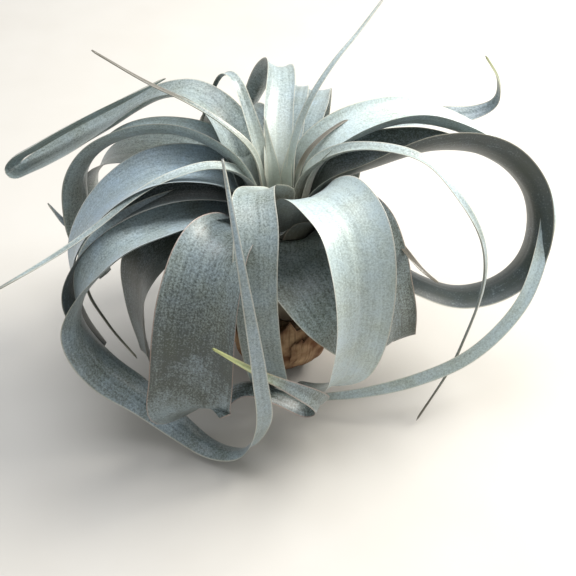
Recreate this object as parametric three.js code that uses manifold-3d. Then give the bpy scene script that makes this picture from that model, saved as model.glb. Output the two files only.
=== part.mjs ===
// A silvery air plant: a short stem, a rosette of curling leaves and the dry sheaths at its foot.
// Millimetres, +Z up. The origin is the centre of the stem's flat underside, on the floor.

import * as THREE from 'three';
import { mergeVertices } from 'three/addons/utils/BufferGeometryUtils.js';
import Module from 'manifold-3d';

const wasm = await Module();
wasm.setup();

// Driving dimensions.
const stemFootRadius = 14;
const stemShoulderHeight = 20;
const stemNeckRadius = 5;
const stemNeckHeight = 90;
const stemTopHeight = 95;
const stemSides = 24;
const bladeThickness = 1.2;
const edgeThickness = 0.4;
const seatWidth = 7;
const seatFlare = 0.35;
const pieceGap = 0.3;
const ringSpacing = 12;
const leastRings = 6;
const narrowWidth = 16;
const narrowColumns = 2;
const broadColumns = 4;
const weldDistance = 0.0001;
const youngestSeatHeight = 88;
const seatStep = 2.2;
const youngestCollarReach = 6;
const collarReachStep = 0.55;
const youngestCollarHeight = 100;
const collarHeightStep = 0.5;
const leafCup = [55, 50, 34, 25, 20];
const leastCup = 0.01;

// One entry a leaf, from the youngest to the oldest. bearing turns anticlockwise from +X, in degrees.
// route holds points of the midrib as [reach out from the stem, swing to the side, height].
// width, roll and cup are spaced evenly from base to tip. roll turns the blade about its midrib, and
// cup is half the angle of the arc that its section follows, both in degrees.
const leaves = [
  { name: 'leaf_01_heart', bearing: 120, width: [8, 8, 6, 3, 1],
    route: [[7, 0, 109], [10, 0, 119], [13, 0, 130]] },
  { name: 'leaf_02_heart', bearing: 60, width: [8, 8, 6, 3, 1],
    route: [[7, 0, 108], [10, 0, 116], [15, 0, 121]] },
  { name: 'leaf_03_upright_right', bearing: 45, width: [8, 5, 3.5, 2.5, 1],
    route: [[9, 0, 120], [18, 0, 137], [32, 0, 149], [46, 0, 157], [61, 0, 167]] },
  { name: 'leaf_04_upright_left', bearing: 165, width: [8, 5, 3, 2, 1],
    route: [[12, 0, 118], [25, 0, 130], [40, 0, 138], [56, 0, 144], [80, 0, 156]] },
  { name: 'leaf_05_thin_right', bearing: 35, width: [8, 4.5, 3, 2, 1],
    route: [[14, 0, 113], [25, 0, 120], [37, 0, 123], [50, 0, 124]] },
  { name: 'leaf_06_back_channel', bearing: 94, width: [12, 14, 15, 15, 15, 10],
    roll: [0, 0, 8, 16, 10, 0], cup: [50, 50],
    route: [[14, 0, 108], [30, -1, 120], [48, -3, 125], [65, -3, 123], [77, 3, 110], [81, 10, 92]] },
  { name: 'leaf_07_thin_arch', bearing: 124, width: [10, 9, 7, 5, 3, 1],
    route: [[14, 0, 108], [24, 0, 126], [34, 0, 138], [44, 0, 136], [52, 3, 121], [56, 8, 102]] },
  { name: 'leaf_08_long_right', bearing: 343, width: [14, 14, 7, 5, 4.5, 4, 3, 1],
    route: [[13, 0, 112], [28, 0, 126], [46, 0, 130], [62, 0, 127], [78, -5, 115], [88, -5, 99],
      [92, -4, 82], [92, -4, 64], [89, -6, 44], [84, -10, 22], [74, -26, 2]] },
  { name: 'leaf_09_long_left', bearing: 200, width: [14, 12, 7, 5, 4, 3, 1],
    route: [[17, 0, 112], [29, 0, 119], [44, 0, 119], [60, 0, 114], [80, 2, 103], [98, 4, 95],
      [130, 8, 85]] },
  { name: 'leaf_10_front', bearing: 260, width: [12, 9, 14, 18, 18.5, 18, 17.5, 17, 16],
    cup: [60, 60, 45, 22, 20, 20, 18, 18, 18],
    route: [[11, 3, 106], [18, -3, 112], [26, -5, 117], [35, -4, 118], [45, -1, 113], [53, 0, 102],
      [58, 1, 87], [60, 3, 64], [57, 5, 44], [50, 6, 26]] },
  { name: 'leaf_11_back', bearing: 83, width: [12, 15, 16, 14, 9, 3],
    route: [[16, 0, 106], [32, 0, 114], [50, 0, 116], [66, 0, 112], [80, 0, 100], [86, 0, 82]] },
  { name: 'leaf_12_right_sweep', bearing: 20, width: [16, 27, 30, 28, 21, 13, 7.5, 6.5, 6.5, 6, 4],
    roll: [0, -4, -8, -10, -8, 5, 35, 45, 45, 40, 40],
    cup: [60, 60, 60, 55, 45, 30, 20, 20],
    route: [[18, 0, 112], [34, 0, 121], [56, 0, 123], [80, -2, 115], [102, -8, 102], [113, -22, 94],
      [112, -37, 87], [105, -49, 76], [92, -60, 56], [69, -63, 35], [45, -58, 22], [20, -50, 14],
      [4, -42, 9]] },
  { name: 'leaf_13_left_arch', bearing: 168, width: [16, 24, 26, 25, 23, 20, 16, 8],
    roll: [0, 8, 20, 25, 20, 25, 40, 40], cup: [60, 60, 58, 50, 40, 30, 25],
    route: [[20, 0, 111], [32, 0, 120], [46, 0, 123], [62, 1, 121], [78, 3, 113], [88, 6, 100],
      [91, 9, 81], [89, 12, 64], [80, 15, 50]] },
  { name: 'leaf_14_back_broad', bearing: 78, width: [14, 22, 26, 25, 18, 12, 4],
    route: [[18, 0, 103], [36, 0, 110], [56, 0, 110], [74, 0, 106], [86, 0, 93], [90, 0, 74],
      [84, 0, 56]] },
  { name: 'leaf_15_right_loop', bearing: 5, width: [16, 31, 38, 37, 28, 21, 20, 19, 17],
    roll: [0, 0, -5, -25, -42, -40, -35, -33, -33], cup: [60, 58, 58, 50, 35, 22, 20, 20],
    route: [[22, 0, 106], [44, 1, 112], [66, 2, 116], [84, 2, 114], [99, 0, 107], [110, -5, 95],
      [113, -12, 80], [109, -18, 66], [97, -22, 57], [79, -22, 53], [62, -17, 57], [49, -8, 61]] },
  { name: 'leaf_16_left_broad', bearing: 188, width: [16, 29, 31, 31, 29, 26, 20, 8],
    route: [[22, 0, 106], [36, 0, 113], [52, 0, 114], [68, 1, 107], [82, 3, 94], [91, 6, 78],
      [92, 10, 60]] },
  { name: 'leaf_17_front_right_broad', bearing: 301, width: [18, 22, 25, 30, 29, 26, 24, 20, 10],
    roll: [0, -12, 12, 5, 0, 0], cup: [50, 40, 32, 34, 36, 32, 25],
    route: [[22, 0, 109], [38, 0, 119], [54, 0, 117], [65, -2, 104], [70, -4, 82], [69, -6, 59],
      [62, -6, 40], [50, -9, 27], [38, -13, 20]] },
  { name: 'leaf_18_left_hairpin', bearing: 150,
    width: [18, 32, 33, 29, 20, 19, 22, 22, 18, 10, 8, 7, 5, 1],
    roll: [0, 0, 0, 0, 0, -10, -20, -20, -20, -25, -30, -30],
    route: [[22, 0, 112], [34, -3, 127], [47, -4, 131], [58, -1, 129], [68, 3, 123], [80, 9, 114],
      [92, 15, 106], [103, 22, 98], [114, 29, 91], [123, 34, 86], [126, 34, 89], [123, 32, 94],
      [116, 28, 99], [103, 20, 108], [86, 11, 119], [70, 2, 129], [59, -3, 136]] },
  { name: 'leaf_19_right_hook', bearing: 45, width: [14, 19, 17, 14, 12, 12, 9, 4, 1],
    roll: [0, 0, 5, 20, 35, 40, 40, 20, 0],
    route: [[20, 0, 105], [34, 0, 110], [56, 0, 109], [78, -4, 104], [98, -12, 99], [112, -20, 98],
      [119, -27, 104], [118, -27, 116], [108, -24, 132]] },
  { name: 'leaf_20_left_under', bearing: 194, width: [16, 26, 28, 26, 24, 18, 8],
    roll: [0, 0, 0, 10, 35, 40],
    route: [[22, 0, 100], [38, 0, 106], [54, 0, 105], [73, 1, 97], [87, 3, 82], [94, 6, 65],
      [92, 9, 50], [85, 14, 38]] },
  { name: 'leaf_21_left_loop', bearing: 206,
    width: [16, 28, 30, 30, 28, 26, 22, 16, 11, 8, 7, 6, 4.5, 2.6, 1],
    roll: [0, 0, 0, 0, 8, 35, 55, 65, 55, 35, 0, 0, 0, 0, 0],
    route: [[24, 0, 96], [40, 1, 100], [58, 2, 100], [76, 3, 96], [90, 3, 82], [96, 3, 64],
      [94, 6, 49], [88, 12, 37], [79, 20, 28], [66, 33, 13], [56, 46, 6], [47, 57, 11],
      [41, 68, 38], [44, 73, 73], [47, 73, 105], [48, 66, 136], [46, 51, 162]] },
  { name: 'leaf_22_front_left_broad', bearing: 245,
    width: [18, 32, 31, 26, 28, 35, 37, 37, 37, 38, 18, 12, 11, 8, 4.5, 2.5, 1],
    roll: [0, 0, 0, -5, -12, -22, -28, -22, 0, 0, 0, 0],
    route: [[24, 0, 90], [36, -2, 101], [50, -3, 104], [62, -3, 94], [70, -4, 75], [75, -5, 52],
      [77, -6, 35], [71, -4, 31], [58, 10, 38], [54, 26, 34], [52, 38, 30], [53, 44, 36],
      [59, 43, 46], [66, 36, 56], [76, 26, 70], [87, 13, 88]] },
  { name: 'leaf_23_right_broad', bearing: 330, width: [16, 32, 34, 32, 30, 29, 27, 24],
    roll: [0, 0, 0, 0, 9, 28],
    route: [[22, 0, 95], [34, 0, 99], [44, 0, 94], [51, 0, 79], [56, 0, 60], [58, 1, 46],
      [58, 2, 34]] },
  { name: 'leaf_24_back_left', bearing: 112, width: [16, 30, 32, 30, 26, 18, 8],
    route: [[24, 0, 98], [42, 0, 105], [60, 0, 102], [74, 0, 87], [80, 0, 66], [76, 0, 44],
      [64, 0, 30]] },
  { name: 'leaf_25_back_right', bearing: 63, width: [16, 28, 30, 28, 24, 16, 8],
    route: [[24, 0, 95], [38, 0, 99], [52, 0, 94], [61, 0, 80], [64, 0, 60], [60, 0, 42],
      [50, 0, 28]] },
  { name: 'leaf_26_front_right_under', bearing: 303, width: [16, 36, 44, 41, 31, 16],
    route: [[24, -3, 82], [34, -5, 80], [45, -5, 75], [51, 0, 62], [50, 8, 40]] },
  { name: 'leaf_27_left_inner', bearing: 160, width: [16, 28, 30, 29, 23, 10],
    route: [[24, 0, 97], [44, 0, 104], [64, 0, 104], [84, 0, 96], [94, 0, 80], [92, 0, 58]] },
  { name: 'leaf_28_thin_right_low', bearing: 348, width: [12, 9, 7, 6, 5, 4.5, 3.5, 1],
    route: [[26, 0, 84], [38, 0, 87], [48, 0, 85], [55, -3, 80], [60, -10, 80], [66, -14, 77],
      [73, -13, 71]] },
  { name: 'leaf_29_right_low', bearing: 32, width: [16, 26, 26, 24, 18, 8],
    route: [[22, 0, 83], [33, 0, 84], [41, 0, 75], [44, 0, 58], [42, 0, 38], [34, 0, 24]] },
  { name: 'leaf_30_back_low', bearing: 82, width: [16, 30, 32, 30, 26, 18, 8],
    route: [[24, 0, 90], [42, 0, 95], [58, 0, 90], [70, 0, 74], [76, 0, 54], [74, 0, 34],
      [64, 0, 20]] },
  { name: 'leaf_31_left_low', bearing: 150, width: [14, 22, 22, 18, 12, 1],
    route: [[30, 0, 92], [52, 6, 94], [74, 14, 80], [88, 22, 62], [101, 28, 59], [109, 31, 72]] },
  { name: 'leaf_32_thin_left_low', bearing: 193, width: [10, 8, 5, 4, 3, 1],
    route: [[28, 0, 84], [56, 0, 92], [78, 0, 84], [88, 0, 64], [82, 0, 38], [71, 0, 12]] },
  { name: 'leaf_33_front_left_low', bearing: 204, width: [14, 32, 35, 33, 22],
    route: [[26, 0, 82], [48, 0, 89], [64, 0, 76], [68, 0, 50], [66, 0, 20]] },
  { name: 'leaf_34_back_left_low', bearing: 130, width: [16, 28, 30, 26, 20, 10],
    route: [[24, 0, 82], [44, 0, 86], [62, 0, 80], [74, 0, 62], [78, 0, 42], [72, 0, 22]] },
];

// The dry sheaths that wrap the foot of the stem, each a strongly cupped blade standing on end. Every
// second one lies outside its neighbours. Their points are measured from the foot's surface.
const sheathRoute = [[0, 0, 2], [5, 0, 10], [7, 0, 22], [6, 0, 34], [3, 0, 44]];
const sheathWidth = [22, 36, 40, 34, 14];
const sheathNames = ['front', 'front_right', 'back_right', 'back', 'back_left', 'front_left'];

function stemProfile() {
  return [
    new THREE.Vector2(0, 0),
    new THREE.Vector2(stemFootRadius, 0),
    new THREE.Vector2(stemFootRadius, stemShoulderHeight),
    new THREE.Vector2(stemNeckRadius, stemNeckHeight),
    new THREE.Vector2(0, stemTopHeight),
  ];
}

function stemRadiusAt(height) {
  if (height <= stemShoulderHeight) return stemFootRadius;
  const share = (height - stemShoulderHeight) / (stemNeckHeight - stemShoulderHeight);
  return THREE.MathUtils.lerp(stemFootRadius, stemNeckRadius, share);
}

function evenly(values, share) {
  const place = share * (values.length - 1);
  const before = Math.min(Math.floor(place), values.length - 2);
  return THREE.MathUtils.lerp(values[before], values[before + 1], place - before);
}

// The leaf leaves the stem at its seat, rises inside the older leaves as far as its collar, and then
// follows its own route. Younger leaves sit higher and closer to the middle.
function withBase(leaf, age) {
  const seatHeight = youngestSeatHeight - seatStep * age;
  const seatReach = stemRadiusAt(seatHeight) + bladeThickness / 2 + pieceGap;
  const collarReach = youngestCollarReach + collarReachStep * age;
  const collarHeight = youngestCollarHeight - collarHeightStep * age;
  return [[seatReach, 0, seatHeight], [collarReach, 0, collarHeight], ...leaf.route];
}

function midrib(bearing, route) {
  const outward = new THREE.Vector3(Math.cos(bearing), Math.sin(bearing), 0);
  const sideways = new THREE.Vector3(-Math.sin(bearing), Math.cos(bearing), 0);
  const points = route.map(([reach, swing, height]) => new THREE.Vector3(0, 0, height)
    .addScaledVector(outward, reach)
    .addScaledVector(sideways, swing));
  return { curve: new THREE.CatmullRomCurve3(points, false, 'centripetal'), sideways };
}

// The section is a thin lens bent into an arc, thickest at the midrib and thin at both edges.
function sectionPoints(width, cup, grow, columns) {
  const arcRadius = width / 2 / Math.max(cup, leastCup);
  const halfArc = (width / 2 + grow) / arcRadius;
  const pointAt = (column, face) => {
    const share = -1 + (2 * column) / columns;
    const half = THREE.MathUtils.lerp(bladeThickness, edgeThickness, share * share) / 2 + grow;
    const angle = halfArc * share;
    return [arcRadius * Math.sin(angle), arcRadius * (1 - Math.cos(angle)) + face * half];
  };
  const order = [...Array(columns + 1).keys()];
  const upper = order.map((column) => pointAt(column, 1));
  const under = order.reverse().map((column) => pointAt(column, -1));
  return [...upper, ...under];
}

function bladeFaces(rings, columns) {
  const perRing = 2 * (columns + 1);
  const faces = [];
  for (let ring = 0; ring < rings; ring += 1) {
    for (let spot = 0; spot < perRing; spot += 1) {
      const a = ring * perRing + spot;
      const b = ring * perRing + (spot + 1) % perRing;
      faces.push(a, b + perRing, b, a, a + perRing, b + perRing);
    }
  }
  const tipStart = rings * perRing;
  for (let column = 0; column < columns; column += 1) {
    const under = perRing - 1 - column;
    faces.push(column, column + 1, under - 1, column, under - 1, under);
    const [p, q, r, t] = [column, column + 1, under - 1, under].map((spot) => tipStart + spot);
    faces.push(p, r, q, p, t, r);
  }
  return faces;
}

function bladeGeometry({ bearing, route, width, roll = [0, 0], cup = leafCup }, grow) {
  const { curve, sideways } = midrib(THREE.MathUtils.degToRad(bearing), route);
  const length = curve.getLength();
  const rings = Math.max(leastRings, Math.round(length / ringSpacing));
  const columns = Math.max(...width) > narrowWidth ? broadColumns : narrowColumns;
  const positions = [];
  const across = sideways.clone();
  for (let ring = 0; ring <= rings; ring += 1) {
    const share = ring / rings;
    const centre = curve.getPointAt(share);
    const along = curve.getTangentAt(share);
    across.addScaledVector(along, -across.dot(along)).normalize();
    const side = across.clone().applyAxisAngle(along, THREE.MathUtils.degToRad(evenly(roll, share)));
    const upper = new THREE.Vector3().crossVectors(along, side);
    const bend = THREE.MathUtils.degToRad(evenly(cup, share));
    const wide = Math.min(evenly(width, share), seatWidth + seatFlare * share * length);
    for (const [x, y] of sectionPoints(wide, bend, grow, columns)) {
      const point = centre.clone().addScaledVector(side, x).addScaledVector(upper, y);
      positions.push(point.x, point.y, point.z);
    }
  }
  const geometry = new THREE.BufferGeometry();
  geometry.setAttribute('position', new THREE.Float32BufferAttribute(positions, 3));
  geometry.setIndex(bladeFaces(rings, columns));
  return geometry;
}

function solidFrom(geometry) {
  const bare = geometry.clone();
  bare.deleteAttribute('normal');
  bare.deleteAttribute('uv');
  const merged = mergeVertices(bare, weldDistance);
  return new wasm.Manifold(new wasm.Mesh({
    numProp: 3,
    vertProperties: new Float32Array(merged.attributes.position.array),
    triVerts: new Uint32Array(merged.index.array),
  }));
}

function geometryFrom(solid) {
  const mesh = solid.getMesh();
  const geometry = new THREE.BufferGeometry();
  geometry.setAttribute('position', new THREE.Float32BufferAttribute(mesh.vertProperties, 3));
  geometry.setIndex([...mesh.triVerts]);
  return geometry;
}

function largestPiece(solid) {
  const pieces = solid.decompose();
  return pieces.reduce((best, piece) => (piece.volume() > best.volume() ? piece : best));
}

function boxesTouch(one, other) {
  const a = one.boundingBox();
  const b = other.boundingBox();
  return [0, 1, 2].every((axis) => a.min[axis] <= b.max[axis] && b.min[axis] <= a.max[axis]);
}

// Each leaf gives way to the stem and to every younger leaf that it would run into at its base.
function fitAround(solid, placed) {
  const clear = placed.filter((other) => boxesTouch(solid, other))
    .reduce((rest, other) => rest.subtract(other), solid);
  return largestPiece(clear);
}

const leafMaterial = new THREE.MeshStandardMaterial({ color: 0x9aa79f, roughness: 0.75 });
const sheathMaterial = new THREE.MeshStandardMaterial({ color: 0xb8a48c, roughness: 0.9 });
const stemMaterial = new THREE.MeshStandardMaterial({ color: 0x6f5a42, roughness: 0.9 });

const plant = new THREE.Group();
const placed = [];

function addPiece(name, solid, material) {
  const mesh = new THREE.Mesh(geometryFrom(solid), material);
  mesh.name = name;
  plant.add(mesh);
}

function grownStem(grow) {
  const profile = stemProfile().map((point) => new THREE.Vector2(
    point.x > 0 ? point.x + grow : 0,
    point.y > 0 ? point.y + grow : point.y,
  ));
  return solidFrom(new THREE.LatheGeometry(profile, stemSides).rotateX(Math.PI / 2));
}

addPiece('stem', grownStem(0), stemMaterial);
placed.push(grownStem(pieceGap));

leaves.forEach((leaf, age) => {
  const whole = { ...leaf, route: withBase(leaf, age) };
  addPiece(leaf.name, fitAround(solidFrom(bladeGeometry(whole, 0)), placed), leafMaterial);
  placed.push(solidFrom(bladeGeometry(whole, pieceGap)));
});

sheathNames.forEach((side, index) => {
  const bearing = 270 + (index * 360) / sheathNames.length;
  const seatReach = stemFootRadius + bladeThickness / 2 + pieceGap;
  const lap = (index % 2) * (bladeThickness + pieceGap);
  const route = sheathRoute.map(([out, swing, height], place) => {
    return [seatReach + out + (place > 0 ? lap : 0), swing, height];
  });
  const cup = route.map(([reach], place) => THREE.MathUtils.radToDeg(sheathWidth[place] / 2 / reach));
  const sheath = { bearing, route, width: sheathWidth, cup };
  addPiece(`dry_sheath_${side}`, fitAround(solidFrom(bladeGeometry(sheath, 0)), placed), sheathMaterial);
  placed.push(solidFrom(bladeGeometry(sheath, pieceGap)));
});

export default plant;
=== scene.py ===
# %% [markdown]
# # An air plant with curling silver leaves
# The plant is a short woody stem with a rosette of long channelled leaves. They rise round the crown,
# arch over and curl back under themselves. A few dry papery sheaths are left round its foot. The packed
# part already holds the place and size of every leaf, so this file gives each one its real surface.

import math

import bpy
from mathutils import Matrix, Vector, noise


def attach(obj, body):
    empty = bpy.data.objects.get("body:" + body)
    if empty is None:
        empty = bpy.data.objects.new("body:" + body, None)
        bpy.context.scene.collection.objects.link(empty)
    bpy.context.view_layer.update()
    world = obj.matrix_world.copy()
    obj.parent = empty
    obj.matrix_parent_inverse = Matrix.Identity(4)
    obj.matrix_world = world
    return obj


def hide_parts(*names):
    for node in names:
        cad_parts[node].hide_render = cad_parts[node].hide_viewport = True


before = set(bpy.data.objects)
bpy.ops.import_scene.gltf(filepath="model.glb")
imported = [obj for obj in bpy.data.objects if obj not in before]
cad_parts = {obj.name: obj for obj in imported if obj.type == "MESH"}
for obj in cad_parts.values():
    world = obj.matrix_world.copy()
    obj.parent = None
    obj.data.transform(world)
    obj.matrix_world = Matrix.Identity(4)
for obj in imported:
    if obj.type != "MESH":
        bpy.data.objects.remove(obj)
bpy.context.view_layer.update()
scene = bpy.context.scene
print("packed nodes:", len(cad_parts))

# %% [markdown]
# ## Camera, floor and light
# A plant of this size is looked at from a little above, so the camera stands 42 degrees over the floor
# with a short telephoto lens. The floor is a plain pale board. The light is a window-like panel behind
# on the right and a wide soft ceiling panel, and a pale sky keeps the undersides readable. Sharp lamps
# were the other way, but they would break the velvety scales of the leaves into hard spots.

# %% Camera
MM = 0.001
CAMERA_PLACE = (3.5, -350.2, 358.3)
CAMERA_TILT = 48
CAMERA_LENS = 62.5
SENSOR_WIDTH = 36

camera_data = bpy.data.cameras.new("camera")
camera_data.lens = CAMERA_LENS
camera_data.sensor_width = SENSOR_WIDTH
camera = bpy.data.objects.new("camera", camera_data)
camera.location = Vector(CAMERA_PLACE) * MM
camera.rotation_euler = (math.radians(CAMERA_TILT), 0, 0)
scene.collection.objects.link(camera)
scene.camera = camera
print("camera height, mm:", CAMERA_PLACE[2])


# %% A helper that adds one node
def add(tree, kind, inputs=None, **settings):
    """Adds a node with its settings and links, and returns its outputs."""
    node = tree.nodes.new(kind)
    for name, value in settings.items():
        setattr(node, name, value)
    for place, value in (inputs or {}).items():
        if isinstance(value, bpy.types.NodeSocket):
            tree.links.new(value, node.inputs[place])
        else:
            node.inputs[place].default_value = value
    return node.outputs


def toLinear(hex_colour):
    """An sRGB hex value as the linear colour that a socket takes."""
    parts = [int(hex_colour[i:i + 2], 16) / 255 for i in (1, 3, 5)]
    return tuple(c / 12.92 if c <= 0.04045 else ((c + 0.055) / 1.055) ** 2.4 for c in parts) + (1.0,)


def new_material(name):
    """An empty node material."""
    material = bpy.data.materials.new(name)
    material.use_nodes = True
    material.node_tree.nodes.clear()
    return material


print("helpers ready")

# %% Floor
FLOOR_SIZE = 6000
FLOOR_COLOUR = "#C0BDB6"
FLOOR_PALE_COLOUR = "#CAC8C3"
CLOUD_LENGTH = 60

# Board under matt paint, rolled on, which leaves faint paler clouds.
paint = new_material("painted board, rolled matt")
tree = paint.node_tree
where = add(tree, "ShaderNodeTexCoord")["Object"]
cloud = add(tree, "ShaderNodeTexNoise",
            {"Vector": where, "Scale": 1 / (CLOUD_LENGTH * MM), "Detail": 3.0})[0]
shade = add(tree, "ShaderNodeMix",
            {0: cloud, 6: toLinear(FLOOR_COLOUR), 7: toLinear(FLOOR_PALE_COLOUR)}, data_type="RGBA")[2]
skin = add(tree, "ShaderNodeBsdfPrincipled",
           {"Base Color": shade, "Roughness": 0.7, "Specular IOR Level": 0.3})[0]
add(tree, "ShaderNodeOutputMaterial", {"Surface": skin})

half = FLOOR_SIZE / 2 * MM
floor_mesh = bpy.data.meshes.new("floor")
corners = [(-half, -half, 0), (half, -half, 0), (half, half, 0), (-half, half, 0)]
floor_mesh.from_pydata(corners, [], [(0, 1, 2, 3)])
floor_mesh.materials.append(paint)
floor = bpy.data.objects.new("floor", floor_mesh)
scene.collection.objects.link(floor)
print("floor side, m:", FLOOR_SIZE * MM)

# %% Light
SKY_COLOUR = "#ECEDEE"
SKY_STRENGTH = 0.55
# name: place in mm, width in mm, power in watts, colour
LAMPS = {
    "window": ((560, 240, 640), 420, 11.5, "#FFFAF2"),
    "ceiling": ((-60, 160, 1150), 900, 9.3, "#F8FAFF"),
}
AIM = Vector((0, 0, 70)) * MM

world = bpy.data.worlds.new("studio")
scene.world = world
world.use_nodes = True
world.node_tree.nodes.clear()
sky = add(world.node_tree, "ShaderNodeBackground",
          {"Color": toLinear(SKY_COLOUR), "Strength": SKY_STRENGTH})[0]
add(world.node_tree, "ShaderNodeOutputWorld", {"Surface": sky})
for name, (place, width, power, colour) in LAMPS.items():
    lamp_data = bpy.data.lights.new(name, "AREA")
    lamp_data.size = width * MM
    lamp_data.energy = power
    lamp_data.color = toLinear(colour)[:3]
    lamp = bpy.data.objects.new(name, lamp_data)
    lamp.location = Vector(place) * MM
    lamp.rotation_euler = (AIM - lamp.location).to_track_quat("-Z", "Y").to_euler()
    scene.collection.objects.link(lamp)
scene.view_settings.view_transform = "Standard"
print("lamps:", len(LAMPS))

# %% [markdown]
# ## The plan of the leaves
# Every leaf is one smooth line, its midrib, with a blade laid across it. A line is easier to plan than a
# surface: it leaves the stem at a seat, rises inside the older leaves as far as a collar, and then
# follows its own route. The list below is the planting plan, from the youngest leaf to the oldest.

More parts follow.
